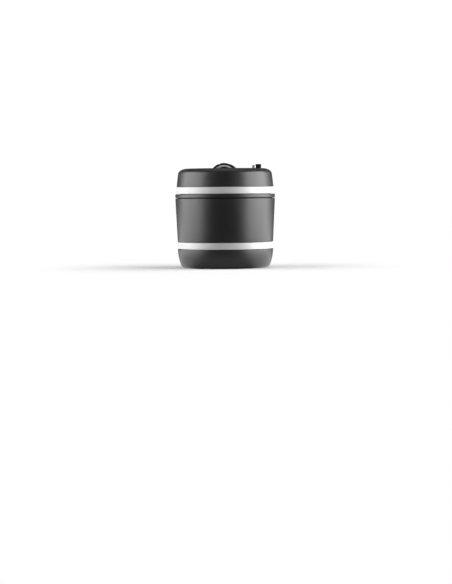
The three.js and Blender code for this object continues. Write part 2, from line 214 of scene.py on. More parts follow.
def circle(x, y, r, steps=ROUND_STEPS):
    return [(x + r * math.cos(2 * math.pi * k / steps), y + r * math.sin(2 * math.pi * k / steps))
            for k in range(steps)]


def boolean(piece, tools, operation="DIFFERENCE"):
    """Cuts the tools out of the piece, or joins them to it, and throws the tools away."""
    for tool in tools:
        modifier = piece.modifiers.new("cut", "BOOLEAN")
        modifier.operation = operation
        modifier.solver = "EXACT"
        modifier.object = tool
        settle(piece)
        bpy.data.objects.remove(tool)
    piece.data.set_sharp_from_angle(angle=SMOOTH_ANGLE)
    return piece


def settle(piece):
    """Applies a piece's modifiers."""
    graph = bpy.context.evaluated_depsgraph_get()
    mesh = bpy.data.meshes.new_from_object(piece.evaluated_get(graph))
    piece.modifiers.clear()
    piece.data = mesh


def soften(piece, width, segments, angle=35.0):
    """Rounds every edge sharper than the angle, in degrees."""
    modifier = piece.modifiers.new("edges", "BEVEL")
    modifier.width = width * MM
    modifier.segments = segments
    modifier.limit_method = "ANGLE"
    modifier.angle_limit = math.radians(angle)
    settle(piece)
    piece.data.set_sharp_from_angle(angle=SMOOTH_ANGLE)
    return piece


def from_cad(node, width):
    """A fine copy of a CAD node: its flats made whole and its edges rounded."""
    bm = bmesh.new()
    bm.from_mesh(frame["nodes"][node].data)
    bm.transform(Matrix.Scale(1 / MM, 4))
    bmesh.ops.remove_doubles(bm, verts=bm.verts, dist=CAD_WELD)
    bmesh.ops.dissolve_limit(bm, angle_limit=FLAT_ANGLE, verts=bm.verts, edges=bm.edges)
    return soften(new_piece("fine_" + node, finished(bm, node)), width, segments=2)


def mesh_of(curve):
    """The mesh of a curve or of a text."""
    shape = bpy.data.objects.new(curve.name, curve)
    bpy.context.scene.collection.objects.link(shape)
    mesh = bpy.data.meshes.new_from_object(shape.evaluated_get(bpy.context.evaluated_depsgraph_get()))
    bpy.data.objects.remove(shape)
    return mesh


def wire(name, points, thickness):
    """A round wire through points in mm, its ends closed."""
    curve = bpy.data.curves.new(name, "CURVE")
    curve.dimensions = "3D"
    spline = curve.splines.new("POLY")
    spline.points.add(len(points) - 1)
    for knot, (x, y, z) in zip(spline.points, points):
        knot.co = (x * MM, y * MM, z * MM, 1)
    curve.bevel_depth = thickness / 2 * MM
    curve.bevel_resolution = WIRE_RESOLUTION
    curve.use_fill_caps = True
    return new_piece(name, mesh_of(curve))


# ---------- node graphs ----------
MIX_FIRST, MIX_SECOND, MIX_RESULT = 6, 7, 2  # the colour sockets of a Mix node


class Graph:
    """A node tree, with short calls for the nodes that the materials and the stage need."""

    def __init__(self, owner):
        owner.use_nodes = True
        self.tree = owner.node_tree

    def node(self, kind, **values):
        node = self.tree.nodes.new(kind)
        for key, value in values.items():
            setattr(node, key, value)
        return node

    def link(self, source, target):
        self.tree.links.new(source, target)

    def math_of(self, operation, first, second=None):
        """A value worked out from a node's value and, for some operations, another one or a number."""
        node = self.node("ShaderNodeMath", operation=operation)
        self.link(first, node.inputs[0])
        if isinstance(second, float):
            node.inputs[1].default_value = second
        elif second:
            self.link(second, node.inputs[1])
        return node.outputs[0]

    def map_range(self, value, from_low, from_high, lowest, highest, curve="LINEAR"):
        node = self.node("ShaderNodeMapRange", interpolation_type=curve)
        for number, amount in enumerate((from_low, from_high, lowest, highest), 1):
            node.inputs[number].default_value = amount
        self.link(value, node.inputs[0])
        return node.outputs[0]

    def color_mix(self, factor, first, second):
        """Between two colours, each plain or a node's."""
        node = self.node("ShaderNodeMix", data_type="RGBA")
        self.link(factor, node.inputs[0])
        for number, color in ((MIX_FIRST, first), (MIX_SECOND, second)):
            if isinstance(color, tuple):
                node.inputs[number].default_value = (*color, 1)
            else:
                self.link(color, node.inputs[number])
        return node.outputs[MIX_RESULT]


# ---------- materials ----------
NOISE_MIDDLE = (0.3, 0.7)  # most of a noise lies between these


class Material(Graph):
    """A Principled material with short calls for what shapes its look."""

    def __init__(self, name, color, roughness, metallic=0.0):
        self.material = bpy.data.materials.new(name)
        super().__init__(self.material)
        self.shader = self.tree.nodes["Principled BSDF"]
        self.shader.inputs["Base Color"].default_value = (*color, 1)
        self.shader.inputs["Roughness"].default_value = roughness
        self.shader.inputs["Metallic"].default_value = metallic
        self.color = color
        self.place = self.node("ShaderNodeTexCoord").outputs["Object"]
        self.normal = None

    def stretched(self, scale):
        """Object coordinates in mm, scaled along each axis."""
        mapping = self.node("ShaderNodeMapping")
        mapping.inputs["Scale"].default_value = [s / MM for s in scale]
        self.link(self.place, mapping.inputs["Vector"])
        return mapping.outputs["Vector"]

    def around_axis(self, per_radian, per_mm):
        """Coordinates (0, angle, height) about the lock's axis, for marks that run round it."""
        split = self.node("ShaderNodeSeparateXYZ")
        self.link(self.place, split.inputs[0])
        angle = self.math_of("ARCTAN2", split.outputs["Y"], split.outputs["X"])
        combine = self.node("ShaderNodeCombineXYZ")
        self.link(self.math_of("MULTIPLY", angle, per_radian), combine.inputs["Y"])
        self.link(self.math_of("MULTIPLY", split.outputs["Z"], per_mm / MM), combine.inputs["Z"])
        return combine.outputs[0]

    def noise(self, vector, detail=2.0, rough=0.5):
        node = self.node("ShaderNodeTexNoise")
        node.inputs["Scale"].default_value = 1.0
        node.inputs["Detail"].default_value = detail
        node.inputs["Roughness"].default_value = rough
        self.link(vector, node.inputs["Vector"])
        return node.outputs["Fac"]

    def spread(self, value, lowest, highest):
        """A noise stretched over a range."""
        return self.map_range(value, *NOISE_MIDDLE, lowest, highest)

    def roughness(self, value, lowest, highest):
        self.link(self.spread(value, lowest, highest), self.shader.inputs["Roughness"])

    def tint(self, value, darker, lighter):
        """Colour that wanders between two multiples of the base colour."""
        first, second = (tuple(min(1, c * factor) for c in self.color) for factor in (darker, lighter))
        self.link(self.color_mix(self.spread(value, 0, 1), first, second), self.shader.inputs["Base Color"])

    def bump(self, value, height):
        """Relief of the given height in mm, on top of any relief already there."""
        node = self.node("ShaderNodeBump")
        node.inputs["Strength"].default_value = 1.0
        node.inputs["Distance"].default_value = height * MM
        self.link(value, node.inputs["Height"])
        if self.normal:
            self.link(self.normal, node.inputs["Normal"])
        self.normal = node.outputs["Normal"]
        self.link(self.normal, self.shader.inputs["Normal"])


def moulded(name, color, roughness, grain, grain_height, wander=0.12, specular=0.5):
    """Moulded plastic: a fine spark-eroded grain, faint flow and handling variation."""
    m = Material(name, color, roughness)
    m.shader.inputs["Specular IOR Level"].default_value = specular
    fine = m.noise(m.stretched([1 / grain] * 3), detail=3.0, rough=0.6)
    coarse = m.noise(m.stretched([1 / (4 * grain)] * 3))
    broad = m.noise(m.stretched((0.16, 0.16, 0.09)))
    m.tint(broad, 1 - wander, 1 + wander)
    m.roughness(broad, roughness - 0.025, roughness + 0.025)
    m.bump(coarse, grain_height)
    m.bump(fine, grain_height)
    return m.material


def satin_metal(name, color, roughness, metallic):
    """Satin metal trim: hairlines that run round the axis, under a soft sheen."""
    m = Material(name, color, roughness, metallic)
    lines = m.noise(m.around_axis(per_radian=3.0, per_mm=14.0), detail=4.0, rough=0.65)
    broad = m.noise(m.stretched([0.12] * 3), detail=1.0)
    m.tint(broad, darker=0.97, lighter=1.03)
    m.roughness(lines, roughness - 0.05, roughness + 0.05)
    m.bump(lines, height=0.0012)
    return m.material


def worked_metal(name, color, roughness, scale, height=0.002):
    """Stamped, turned or drawn metal: grain along one axis and a cloudy tone."""
    m = Material(name, color, roughness, metallic=1.0)
    grain = m.noise(m.stretched(scale), detail=5.0, rough=0.6)
    cloud = m.noise(m.stretched([0.5] * 3))
    m.tint(cloud, darker=0.86, lighter=1.1)
    m.roughness(grain, roughness - 0.08, roughness + 0.1)
    m.bump(grain, height)
    return m.material


def soft_rubber(name, color, roughness):
    """Silicone or rubber: chalky bloom, dusty roughness and a fine matte skin."""
    m = Material(name, color, roughness)
    m.shader.inputs["Sheen Weight"].default_value = 0.15
    pores = m.noise(m.stretched([4] * 3), detail=4.0, rough=0.7)
    bloom = m.noise(m.stretched([0.35] * 3), detail=3.0)
    m.tint(bloom, darker=0.85, lighter=1.2)
    m.roughness(bloom, roughness - 0.08, roughness + 0.05)
    m.bump(pores, height=0.006)
    return m.material


def printed(name, color, roughness):
    """Pad-printed paint: almost even, with thin spots where the ink is light."""
    m = Material(name, color, roughness)
    ink = m.noise(m.stretched([3.5] * 3), detail=3.0, rough=0.6)
    m.tint(ink, darker=0.82, lighter=1.05)
    m.roughness(ink, roughness - 0.05, roughness + 0.05)
    m.bump(ink, height=0.002)
    return m.material


MATERIALS = {
    "black_plastic": moulded("satin_black_plastic", (0.0045, 0.0045, 0.0047), roughness=0.39, grain=0.16,
                             grain_height=0.0035, specular=0.7),
    "gloss_black": moulded("gloss_black_plastic", (0.008, 0.008, 0.0085), roughness=0.24, grain=0.35,
                           grain_height=0.0012),
    "inner_black": moulded("inner_black_plastic", (0.030, 0.030, 0.032), roughness=0.50, grain=0.20,
                           grain_height=0.005),
    "acetal": moulded("acetal_plastic", (0.72, 0.71, 0.66), roughness=0.38, grain=0.45,
                      grain_height=0.003, wander=0.05),
    "satin_silver": satin_metal("satin_silver_metal", (0.54, 0.54, 0.54), roughness=0.60, metallic=0.34),
    "chrome": satin_metal("satin_pin_metal", (0.60, 0.60, 0.61), roughness=0.36, metallic=0.45),
    "steel": worked_metal("stamped_steel", (0.56, 0.57, 0.58), roughness=0.30, scale=(9, 1.2, 9)),
    "screw_steel": worked_metal("zinc_screw", (0.52, 0.53, 0.56), roughness=0.26, scale=(3, 3, 9),
                                height=0.001),
    "spring_steel": worked_metal("spring_wire", (0.42, 0.43, 0.45), roughness=0.24, scale=(2, 2, 12),
                                 height=0.001),
    "brass": worked_metal("turned_brass", (0.72, 0.55, 0.26), roughness=0.24, scale=(1.2, 12, 1.2),
                          height=0.0015),
    "rubber": soft_rubber("soft_rubber_pad", (0.035, 0.035, 0.037), roughness=0.78),
    "silicone": soft_rubber("silicone_seal", (0.36, 0.37, 0.38), roughness=0.62),
}
PAINT = printed("dial_paint", (0.78, 0.78, 0.76), roughness=0.5)
# Painted shade: a duller, blacker plastic laid where shade falls, in the groove under the head's lip and in
# the reset pin's flutes.
PAINTED_SHADE_BLACK = moulded("painted_shade_black_plastic", (0.0025, 0.0025, 0.0025), roughness=0.80, grain=0.20,
                     grain_height=0.004, specular=0.05)


def dress(piece, slot, body, *nodes, material=None):
    """Gives a piece its slot's material, or the material given instead, and its body, and hides the CAD nodes
    that it stands for.
    """
    piece.data.materials.clear()
    piece.data.materials.append(material or MATERIALS[slot])
    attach(piece, body)
    if nodes:
        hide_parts(*nodes)
    return piece


def second_material(piece, material, wanted):
    """Gives the faces whose middle, in mm, is wanted a material of their own."""
    piece.data.materials.append(material)
    for polygon in piece.data.polygons:
        if wanted(polygon.center / MM):
            polygon.material_index = 1


# ---------- body ----------
def base_ring():
    """The lowest ring: its side curves in towards its foot, and its inside is the neck opening."""
    node = "base_ring"
    top, outer = high(node).z, radius(node)
    foot, neck, lead_in = 20.7, 15.4, 0.8
    side_low, side_high, side_steps = 0.75, top - 0.4, 14
    lean, lean_height = 1.9, 9
    side = []
    for k in range(side_steps + 1):
        z = side_low + (side_high - side_low) * k / side_steps
        side.append((outer - lean * (1 - z / lean_height) ** 2, z, 0))
    outline = rounded([(neck + lead_in, 0, 0.25), (foot, 0, 0.8), *side, (outer, top, 0.12),
                       (neck, top, 0.3), (neck, 1.0, 0.5)])
    piece = lathe("base_ring_shell", outline)
    bore, bore_top = 1.75, 1.6
    rim, rim_top = 2.05, 0.2
    tools = []
    for angle in BOSS_ANGLES:
        x, y = polar(BOSS_CIRCLE, angle)
        wall = circle(x, y, bore, POST_STEPS)
        tools.append(prism("bore", wall, -1, bore_top))
        tools.append(prism("rim", circle(x, y, rim, POST_STEPS), -0.01, rim_top, wall))
    dress(boolean(piece, tools), "black_plastic", "body", node)


def trim_ring(node, body):
    lowest, highest = low(node).z, high(node).z
    outer, thickness = radius(node), 1.1
    inner = outer - thickness
    outline = rounded([(inner, lowest, 0.1), (outer, lowest, 0.14), (outer, highest, 0.14),
                       (inner, highest, 0.1)], steps=5)
    dress(lathe(node + "_band", outline), "satin_silver", body, node)


def body_shell():
    """The body's wall, with a ledge inside for the keeper ring and three ribbed bosses for the base."""
    node = "body_shell"
    bottom, rim_top, outer = low(node).z, high(node).z, radius(node)
    top = rim_top - 0.25
    step = high("lower_trim_ring").z + BAND_GAP
    foot = outer - 1.02
    wall, rim = 21.5, 22.7
    seat_in, seat_out, seat_top = 20.9, 21.7, 13.9
    ledge, ledge_low, ledge_high = 19.0, 30.2, 30.9
    outline = rounded([(seat_in, bottom, 0.15), (seat_out, bottom, 0.15), (seat_out, step, 0),
                       (foot, step, 0.12), (outer, top, 0.35), (rim, top, 0.05), (rim, rim_top, 0.1),
                       (wall, rim_top, 0.1), (wall, ledge_high, 0.1), (ledge, ledge_high, 0.15),
                       (ledge, ledge_low, 0.15), (wall, ledge_low, 0.2), (wall, seat_top + 0.1, 0),
                       (seat_in, seat_top, 0.1)])
    piece = lathe("body_shell_fine", outline)
    boss, boss_low = 2.1, 9.15
    rib_middle, rib_half_x, rib_half_y = 19.9, 1.4, 1.2
    bosses = []
    for angle in BOSS_ANGLES:
        bosses.append(prism("boss", circle(*polar(BOSS_CIRCLE, angle), boss, POST_STEPS), boss_low, seat_top))
        rib = prism("rib", rectangle(rib_middle, 0, rib_half_x, rib_half_y, 0.1), boss_low, seat_top)
        rib.data.transform(Matrix.Rotation(math.radians(angle), 4, "Z"))
        bosses.append(rib)
    boolean(piece, bosses, "UNION")
    pilot, pilot_low, pilot_high = 0.8, 9, 13
    pilots = [prism("pilot", circle(*polar(BOSS_CIRCLE, angle), pilot, PILOT_STEPS), pilot_low, pilot_high)
              for angle in BOSS_ANGLES]
    dress(boolean(piece, pilots), "black_plastic", "body", node)


# ---------- head ----------
def head_base():
    """The floor of the head. Its rim is the thin black lip between the body and the silver band."""
    node = "head_base"
    lip_low, lip_high, outer = 33.48, high(node).z, radius(node)
    skirt_in, skirt_out, skirt_low = 23.0, 23.7, lip_low - 0.2
    plate_low, plate_high, band_seat = 33.4, 34.8, 21.95
    guide_in, guide_out, guide_low = 2.25, 4.0, 28.6  # the tube for the pressure plate's stem
    spigot_in, spigot_out, spigot_low = 15.6, 18.6, 25.7
    outline = rounded([
        (0, plate_low, 0), (guide_in, plate_low, 0), (guide_in, guide_low, 0.2), (guide_out, guide_low, 0.3),
        (guide_out, lip_low, 0.4), (spigot_in, lip_low, 0.3), (spigot_in, spigot_low, 0.3),
        (spigot_out, spigot_low, 0.3), (spigot_out, lip_low, 0.1), (skirt_in, lip_low, 0.05),
        (skirt_in, skirt_low, 0.05), (skirt_out, skirt_low, 0.03), (skirt_out, lip_low, 0.0),
        (outer, lip_low, 0.25), (outer, lip_high, 0.3), (band_seat, lip_high, 0.1),
        (band_seat, plate_high, 0.1), (0, plate_high, 0)])
    piece = lathe("head_base_fine", outline)
    bolt_low = low("lock_bolt").z
    window = rectangle(0, 17, 2.8, 3)
    leg_slot = rectangle(0, 13.75, 2.8, 1.75, 0.3)
    below, above = 33, 36  # past both faces of the floor
    hole, pilot, pilot_low, pilot_high = 0.85, 0.7, 25, 31
    cuts = [prism("window", window, bolt_low - 0.3, bolt_low + 1.3),
            prism("leg_slot", leg_slot, below, above)]
    for i in TRIO:
        cuts.append(prism("hole", circle(*spot(f"cover_screw_{i}"), hole, PILOT_STEPS), below, above))
        cuts.append(prism("pilot", circle(*spot(f"sleeve_screw_{i}"), pilot, PILOT_STEPS),
                          pilot_low, pilot_high))
    dress(boolean(piece, cuts), "black_plastic", "head", node)
    # painted shade: the groove under the lip gets the dull black plastic, painted dark as its shade
    second_material(piece, PAINTED_SHADE_BLACK, lambda at: at.xy.length > skirt_in - 0.1 and at.z < lip_low + 0.01)


def top_cover():
    """The cover: a rounded shoulder round a flat top, with chamfered slots for the wheels and slider."""
    node = "top_cover"
    foot, step = radius(node), high("upper_trim_ring").z + BAND_GAP
    shoulder_low, shoulder_out, flat, shoulder_steps = 44.6, 22.64, 18.2, 16
    inner, band_seat, skirt_low, roof = 20.7, 21.75, 35.0, 45.8
    skirt = rounded([(inner, skirt_low, 0.1), (band_seat, skirt_low, 0.1), (band_seat, step, 0),
                     (foot, step, 0.12), (shoulder_out, shoulder_low, 0)])[:-1]
    shoulder = []
    for k in range(shoulder_steps + 1):
        a = math.pi / 2 * k / shoulder_steps
        shoulder.append((flat + (shoulder_out - flat) * math.cos(a),
                         shoulder_low + (TOP - shoulder_low) * math.sin(a)))
    under_roof = [(0, roof), (inner - 1, roof), (inner - 0.3, roof - 0.3), (inner, roof - 1)]
    # it starts and ends on the axis, so that the roof is one closed disc
    piece = lathe("top_cover_fine", under_roof + skirt + shoulder + [(0, TOP)])
    post, guide, guide_low = 2.0, 2.1, 43.0
    post_top = roof + 0.4
    posts = [prism("post", circle(*spot(f"cover_screw_{i}"), post, POST_STEPS), skirt_low, post_top)
             for i in TRIO]
    posts.append(prism("guide", circle(*spot("reset_pin"), guide, POST_STEPS), guide_low, post_top))
    boolean(piece, posts, "UNION")
    boolean(piece, cover_cutters())
    dress(piece, "black_plastic", "head", node)


def cover_cutters():
    """What is cut from the cover: slots and holes, each with a chamfer where it opens in the top."""
    gap, chamfer = 0.3, 0.22
    rim_low, rim_high = TOP - chamfer, TOP + 0.02
    slot_radius, slot_half_y = WHEEL_RADIUS + gap, WHEEL_HALF + gap
    slot_half_x = math.sqrt(slot_radius ** 2 - (TOP - WHEEL_AXIS_Z) ** 2)
    tools = []
    for i in TRIO:
        y = middle(f"number_wheel_{i}").y
        tools.append(drum(f"slot_{i}", slot_radius, y, slot_half_y))
        tools.append(prism("rim", rectangle(0, y, slot_half_x, slot_half_y), rim_low, rim_high,
                           rectangle(0, y, slot_half_x + chamfer, slot_half_y + chamfer)))
    groove, groove_y, groove_half = 3.6, 0.25, 9.65  # room for the code sleeves between the slots
    tools.append(drum("groove", groove, groove_y, groove_half))
    x, y = spot("release_slider")
    y += 0.75
    half_x, half_y = 1.1, 3.1
    neck = rectangle(x, y, half_x, half_y, 0.3)
    tools.append(prism("slider_slot", neck, 45, 48))
    tools.append(prism("rim", neck, rim_low, rim_high,
                       rectangle(x, y, half_x + chamfer, half_y + chamfer, 0.4)))
    pin, hole = spot("reset_pin"), 1.075
    tools.append(prism("pin_hole", circle(*pin, hole), 42, 49))
    tools.append(prism("rim", circle(*pin, hole), rim_low, rim_high, circle(*pin, hole + chamfer)))
    pilot, pilot_low, pilot_high = 0.65, 34, 43
    for i in TRIO:
        tools.append(prism("pilot", circle(*spot(f"cover_screw_{i}"), pilot, PILOT_STEPS),
                           pilot_low, pilot_high))
    return tools


def on_wheel_axis(y, turn):
    """Lays a shape that was made round Z along the wheels' axis, at a place on it."""
    return Matrix.Translation((0, y, WHEEL_AXIS_Z)) @ Matrix.Rotation(turn, 4, "X")


def drum(name, r, y, half):
    """A cylinder about the wheels' axis."""
    bm = bmesh.new()
    bmesh.ops.create_cone(bm, cap_ends=True, segments=TURNED_STEPS, radius1=r, radius2=r, depth=2 * half,
                          matrix=on_wheel_axis(y, math.pi / 2))
    return new_piece(name, finished(bm, name))


def turned_part(name, outline, y, steps=TURNED_STEPS):
    """A ring turned about the wheels' axis, from an outline of (r, distance along the axis)."""
    bm = spun(outline, steps)
    bm.transform(on_wheel_axis(y, -math.pi / 2))
    return new_piece(name, finished(bm, name))


# ---------- number wheels ----------
LOBE = 36.0  # degrees from one digit to the next
LOBE_CROWN = 0.05
NOTCH_DEPTH, NOTCH_POWER = 0.33, 1.3
NOTCH_START = 0.82  # as a share of the way from a lobe's middle to its end


def rim_radius(degrees):
    """The wheel's radius at an angle from the top: a gentle crown on each lobe, a rounded notch between."""
    off = abs((degrees + LOBE / 2) % LOBE - LOBE / 2) / (LOBE / 2)
    crown = LOBE_CROWN * off ** 2
    notch = NOTCH_DEPTH * max(0.0, (off - NOTCH_START) / (1 - NOTCH_START)) ** NOTCH_POWER
    return WHEEL_RADIUS - crown - notch


def wheel_point(r, degrees, y):
    """The point of a wheel at a radius and an angle from the top."""
    a = math.radians(degrees)
    return r * math.sin(a), y, WHEEL_AXIS_Z + r * math.cos(a)


def number_wheel(i):
    """One wheel, turned about Y: chamfered rim, notched lobes, a recessed side for the silver face."""
    node = f"number_wheel_{i}"
    y = middle(node).y
    bore, recess, depth, bevel, edge = 2.4, 6.05, 0.5, 0.18, 0.06
    front, rear, steps = -WHEEL_HALF, WHEEL_HALF, 240
    # each ring of the section: how far in from the rim (or a plain radius), and its place along the axle
    section = [("rim", bevel, front), ("rim", bevel * 0.3, front + bevel * 0.3), ("rim", 0, front + bevel),
               ("rim", 0, rear - bevel), ("rim", bevel * 0.3, rear - bevel * 0.3), ("rim", bevel, rear),
               ("at", bore, rear), ("at", bore, front + depth), ("at", recess, front + depth),
               ("at", recess, front + edge), ("at", recess + edge, front)]
    bm = bmesh.new()
    rings = []
    for kind, size, along in section:
        ring = []
        for k in range(steps):
            angle = 360 * k / steps
            r = rim_radius(angle) - size if kind == "rim" else size
            ring.append(bm.verts.new(wheel_point(r, angle, y + along)))
        rings.append(ring)
    skin(bm, zip(rings, rings[1:] + rings[:1]))
    dress(new_piece(node + "_fine", finished(bm, "wheel")), "gloss_black", f"dial_{i}", node)


def wheel_face(i):
    """The light ring in a wheel's recess."""
    node = f"wheel_face_{i}"
    inner, outer = 5.12, 5.97
    front, back = -WHEEL_HALF + 0.05, -WHEEL_HALF + 0.4
    outline = rounded([(inner, back, 0), (outer, back, 0), (outer, front + 0.05, 0.1), (inner, front, 0.1)])
    piece = turned_part(node + "_fine", outline, middle(f"number_wheel_{i}").y)
    dress(piece, "satin_silver", f"dial_{i}", node)


def code_sleeve(i):
    """The brass sleeve in a wheel, with its gated flange."""
    node = f"code_sleeve_{i}"
    y = middle(f"number_wheel_{i}").y
    bore, tube, flange = 1.45, 2.2, 3.3
    flange_low, flange_high = WHEEL_HALF + 1.1, WHEEL_HALF + 1.7
    outline = rounded([(bore, -WHEEL_HALF, 0.1), (tube, -WHEEL_HALF, 0.15), (tube, flange_low, 0.15),
                       (flange, flange_low, 0.1), (flange, flange_high, 0.1), (bore, flange_high, 0.1)])
    piece = turned_part(node + "_fine", outline, y)
    gate_x, gate_half_x, gate_half_y, gate_half_z = 4.2, 1.8, 1.4, 1.1
    gate = prism("gate", rectangle(gate_x, y + (flange_low + flange_high) / 2, gate_half_x, gate_half_y),
                 WHEEL_AXIS_Z - gate_half_z, WHEEL_AXIS_Z + gate_half_z)
    dress(boolean(piece, [gate]), "brass", f"dial_{i}", node)


def flat_digit(number, size, slices=14):
    """A digit lying flat, in mm, sliced across so that it can bend round a wheel."""
    text = bpy.data.curves.new("digit", "FONT")
    text.body = str(number)
    text.size = size
    text.align_x, text.align_y = "CENTER", "CENTER"
    text.extrude = 0.01
    bm = bmesh.new()
    bm.from_mesh(mesh_of(text))
    heights = [vertex.co.y for vertex in bm.verts]
    lowest, highest = min(heights), max(heights)
    for k in range(1, slices):
        bmesh.ops.bisect_plane(bm, geom=[*bm.verts, *bm.edges, *bm.faces], plane_no=(0, 1, 0),
                               plane_co=(0, lowest + (highest - lowest) * k / slices, 0))
    bmesh.ops.translate(bm, verts=bm.verts, vec=(0, -(lowest + highest) / 2, 0))
    return bm


def digits(i):
    """The wheel's ten generic digits, printed on its lobes. They read from the slider's side."""
    y = middle(f"number_wheel_{i}").y
    size, lift = 2.9, 0.012
    bm = bmesh.new()
    for number in range(10):
        digit = flat_digit(number, size)
        for vertex in digit.verts:
            along, up, out = vertex.co
            angle = LOBE * number - math.degrees(up / WHEEL_RADIUS)
            vertex.co = wheel_point(rim_radius(angle) + lift + out, angle, y + along)
        bent = bpy.data.meshes.new("digit")
        digit.to_mesh(bent)
        digit.free()
        bm.from_mesh(bent)
    dress(new_piece(f"digits_{i}", finished(bm, "digits")), "gloss_black", f"dial_{i}", material=PAINT)


# ---------- slider, reset pin and springs ----------
def release_slider():
    """The square thumb block with a ribbed crown, its neck, its guide foot and its stem."""
    node = "release_slider"
    x, thumb_y = spot(node)
    thumb_low, thumb_high = TOP + 0.12, high(node).z
    half_x, half_y = 1.25, (high(node).y - low(node).y) / 2
    thumb = prism("release_slider_fine", rectangle(x, thumb_y, half_x, half_y, 0.12), thumb_low, thumb_high)
    pitch, count, depth = 1.05, 5, 0.24
    past, floor_half, mouth_half = 2, 0.12, 0.30
    grooves = []
    for k in range(count):
        y = thumb_y + (k - (count - 1) / 2) * pitch
        grooves.append(prism("groove", rectangle(x, y, past, floor_half), thumb_high - depth,
                             thumb_high + 0.1, rectangle(x, y, past, mouth_half)))
    boolean(thumb, grooves)
    soften(thumb, 0.08, segments=3, angle=40)
    stem_y, stem, pilot = -1.1, 1.5, 0.75
    foot_low, foot_high = 44.6, 45.5
    parts = [prism("neck", rectangle(x, stem_y, 0.8, 2.0, 0.2), foot_high - 0.2, TOP + 0.4),
             prism("foot", rectangle(x, stem_y, 1.9, 3.2, 0.3), foot_low, foot_high),
             prism("stem", circle(x, stem_y, stem, POST_STEPS), WHEEL_AXIS_Z + 0.7, foot_low + 0.2)]
    boolean(thumb, parts, "UNION")
    boolean(thumb, [prism("pilot", circle(x, stem_y, pilot, PILOT_STEPS), WHEEL_AXIS_Z, 46)])
    dress(thumb, "gloss_black", "slider", node)


def reset_pin():
    """The bright pin: its head with a turned groove and flutes painted dark as shade, its collar and its
    lower stem.
    """
    node = "reset_pin"
    x, y = spot(node)
    bottom, top = low(node).z, high(node).z
    stem, pin, collar, collar_low, collar_high = 0.6, 0.875, 1.7, 42.0, 42.7
    waist = pin - 0.1
    outline = rounded([
        (0, bottom, 0), (stem, bottom, 0.1), (stem, collar_low, 0.05), (collar, collar_low, 0.12),
        (collar, collar_high, 0.12), (pin, collar_high, 0.05), (pin, top - 0.62, 0.04),
        (waist, top - 0.55, 0.04), (waist, top - 0.45, 0.04), (pin, top - 0.38, 0.04),
        (pin, top - 0.06, 0.3), (0, top, 0)], steps=5)
    piece = lathe("reset_pin_fine", outline, TURNED_STEPS)
    flute, flutes, first_angle, flute_low, flute_steps = 0.2, 6, -6, 43.2, 24
    centres = [polar(pin + 0.04, first_angle + 360 / flutes * k) for k in range(flutes)]
    boolean(piece, [prism("flute", circle(*centre, flute, flute_steps), flute_low, top + 1)
                    for centre in centres])
    piece.data.transform(Matrix.Translation((x * MM, y * MM, 0)))
    dress(piece, "chrome", "reset_button", node)

    def in_a_flute(at):
        across = Vector((at.x - x, at.y - y))
        return at.z > flute_low + 0.05 and any((across - Vector(centre)).length < flute for centre in centres)

    # painted shade: the flutes' faces get the dull black plastic, dark as shade in them
    second_material(piece, PAINTED_SHADE_BLACK, in_a_flute)


# Each spring's wire thickness, its turns, and the share of its length that is left when it is pressed.
SPRINGS = {"seal_spring": (0.9, 6, 0.77), "reset_spring": (0.5, 9, 0.82)}


def coil(node, body):
    """A closed-end compression spring that follows the wire its CAD solid holds."""
    thickness, turns, keep = SPRINGS[node]
    lo, hi, centre = low(node), high(node), middle(node)
    mean = (hi.x - lo.x - thickness) / 2
    bottom, top = lo.z + thickness / 2, hi.z - thickness / 2
    # the first and last turns lie almost flat, as on a spring with closed ends
    closed, creep = 0.8 / turns, 0.1
    steps = 28 * turns
    points = []
    for k in range(steps + 1):
        t = k / steps
        rise = min(max((t - closed) / (1 - 2 * closed), 0), 1)
        z = bottom + (top - bottom) * (creep * t + (1 - creep) * rise)
        x, y = polar(mean, 360 * turns * t)
        points.append((centre.x + x, centre.y + y, z))
    piece = wire(node + "_wire", points, thickness)
    dress(piece, "spring_steel", body, node)
    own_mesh(piece)


# ---------- the other inner pieces ----------
def screw(node, body):
    """A pan-head screw with a cross recess and a rolled thread, pointing up."""
    lo, hi = low(node), high(node)
    x, y = spot(node)
    head, seat = (hi.x - lo.x) / 2, lo.z + 1.0
    crest = 0.65 if node.startswith("base") else 0.55
    root, tip, pitch = crest * 0.86, 0.12, 0.5
    outline = rounded([(0, lo.z, 0), (head * 0.8, lo.z, 0.25), (head, lo.z + 0.45, 0.2),
                       (head, seat, 0.06), (root, seat, 0)])
    z = seat + pitch
    while z + pitch < hi.z - 0.4:
        outline += [(root, z), (crest, z + pitch * 0.35), (root, z + pitch * 0.7)]
        z += pitch
    outline += [(crest * 0.7, hi.z - 0.3), (tip, hi.z), (0, hi.z)]
    piece = lathe(node + "_fine", outline, POST_STEPS)
    piece.data.transform(Matrix.Translation((x * MM, y * MM, 0)))
    arm, arm_half = head * 0.62, 0.16
    recess = [prism("cross", rectangle(x, y, *halves), lo.z - 0.1, lo.z + 0.5)
              for halves in ((arm, arm_half), (arm_half, arm))]
    dress(boolean(piece, recess), "screw_steel", body, node)


def inner_pieces():
    """The pieces inside whose CAD shape is right: each gets rounded edges and its finish."""
    for node, width, slot, body in (
            ("jaw_guide", 0.12, "acetal", "body"), ("keeper_ring", 0.1, "steel", "body"),
            ("cam_sleeve", 0.12, "acetal", "head"), ("lock_frame", 0.12, "steel", "head"),
            ("detent_spring", 0.05, "spring_steel", "head"), ("lock_bolt", 0.1, "steel", "slider"),
            *((f"jaw_{i}", 0.15, "steel", f"jaw_{i}_body") for i in TRIO),
            *((f"jaw_pad_{i}", 0.18, "rubber", f"jaw_{i}_body") for i in TRIO)):
        dress(from_cad(node, width), slot, body, node)


